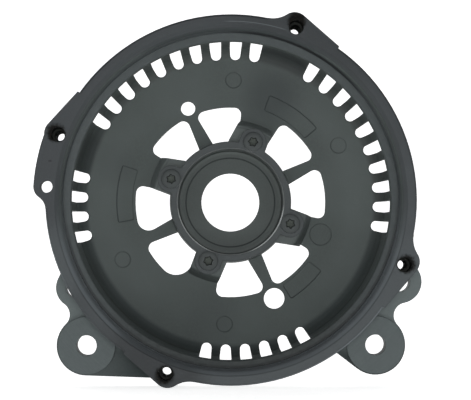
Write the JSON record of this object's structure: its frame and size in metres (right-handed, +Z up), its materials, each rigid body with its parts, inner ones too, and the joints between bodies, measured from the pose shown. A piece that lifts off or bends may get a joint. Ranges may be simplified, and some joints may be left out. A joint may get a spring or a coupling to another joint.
{
  "type": "alternator drive-end bracket",
  "caption": "Cast drive-end bracket of a vehicle alternator: a slotted dish with a hub, bearing retainer plate, screws, through-bolt bosses and mounting ears.",
  "frame": {"origin": "the shaft axis in the plane of the machined rim face", "axes": "+Y along the shaft axis, from the open stator side to the closed pulley side; +X right and +Z up as seen from the open side"},
  "size_m": [0.1788, 0.05, 0.1714],
  "materials": {
    "cast_aluminium": "as-cast, dark grey, matt; rim, seat ring, hub and ear faces turned or milled",
    "plate_steel": "plain pressed steel, dull",
    "screw_steel": "dark phosphated"
  },
  "bodies": {
    "root": {"bracket_casting": "cast_aluminium", "bearing_retainer": "plate_steel", "retainer_screw_1": "screw_steel", "retainer_screw_2": "screw_steel", "retainer_screw_3": "screw_steel", "retainer_screw_4": "screw_steel"}
  },
  "joints": []
}
